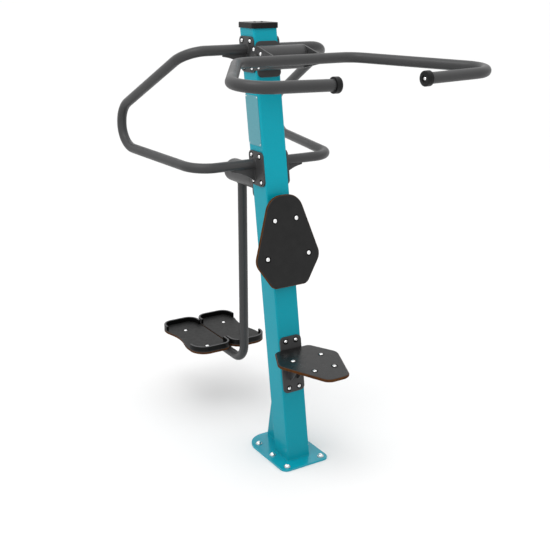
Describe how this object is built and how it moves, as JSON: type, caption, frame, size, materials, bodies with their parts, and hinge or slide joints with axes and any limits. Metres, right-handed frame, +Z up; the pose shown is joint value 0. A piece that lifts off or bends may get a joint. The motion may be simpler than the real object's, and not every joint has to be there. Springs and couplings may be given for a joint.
{
  "type": "outdoor exercise station",
  "caption": "Leaning post for outdoor exercise, with a shoulder press arm that lifts over a seat, and a hip swing with foot boards between two handle loops.",
  "frame": {"origin": "on the floor under the base plate, below the middle of the post's foot", "axes": "+Z up, -Y toward the seat and press grips, +Y toward the swing, X across"},
  "size_m": [1.1691, 1.6342, 1.9846],
  "materials": {
    "teal_coat": "satin",
    "grey_coat": "satin",
    "bright_bolts": "polished",
    "axle_steel": "ground",
    "board_plastic": "matte",
    "rim_plastic": "matte",
    "cap_plastic": "matte",
    "bearing_plastic": "matte",
    "notice_metal": "brushed",
    "buffer_rubber": "matte"
  },
  "bodies": {
    "frame": {"anchor_nuts": "bright_bolts", "anchor_washers": "bright_bolts", "base_gusset": "teal_coat", "base_plate": "teal_coat", "board_bolts": "bright_bolts", "board_nuts": "bright_bolts", "cap_screws": "bright_bolts", "handle_plates_left": "grey_coat", "handle_plates_right": "grey_coat", "handle_tube_left": "grey_coat", "handle_tube_right": "grey_coat", "handle_webs_left": "grey_coat", "handle_webs_right": "grey_coat", "notice_plate": "notice_metal", "notice_rivets": "bright_bolts", "pad_bars": "grey_coat", "pad_board": "board_plastic", "pad_spine": "grey_coat", "post_bolts": "bright_bolts", "post_cap": "cap_plastic", "post_tube": "teal_coat", "press_bearings": "bearing_plastic", "press_buffer": "buffer_rubber", "press_cheeks": "grey_coat", "press_housing": "grey_coat", "press_plate": "grey_coat", "press_stop": "grey_coat", "seat_board": "board_plastic", "seat_plate": "grey_coat", "seat_ribs": "grey_coat", "seat_shelf": "grey_coat", "swing_axle": "axle_steel", "swing_nut": "bright_bolts", "swing_plate": "grey_coat", "swing_stop_key": "axle_steel", "swing_stub": "grey_coat", "swing_washer": "bright_bolts"},
    "press_arm": {"press_axle": "axle_steel", "press_peg": "axle_steel", "press_flanges": "grey_coat", "press_side_plates": "grey_coat", "press_flange_bolts": "bright_bolts", "press_bar": "grey_coat", "press_end_caps": "cap_plastic", "press_end_screws": "bright_bolts"},
    "swing": {"swing_sleeve": "grey_coat", "swing_bearings": "bearing_plastic", "swing_stop_ring": "grey_coat", "swing_end_cap": "grey_coat", "swing_arm": "grey_coat", "swing_arm_plug": "cap_plastic", "foot_bars": "grey_coat", "foot_board_left": "board_plastic", "foot_board_right": "board_plastic", "foot_rims_left": "rim_plastic", "foot_rims_right": "rim_plastic", "foot_bolts": "bright_bolts", "foot_nuts": "bright_bolts"}
  },
  "joints": [
    {"name": "press_lift", "type": "hinge", "parent": "frame", "child": "press_arm", "pos_m": [0, 0.11606, 1.8434], "axis": [-1, 0, 0], "range_deg": [0, 55]},
    {"name": "hip_swing", "type": "hinge", "parent": "frame", "child": "swing", "pos_m": [0, 0.453, 1.2885], "axis": [0, 1, 0], "range_deg": [-35, 35]}
  ]
}
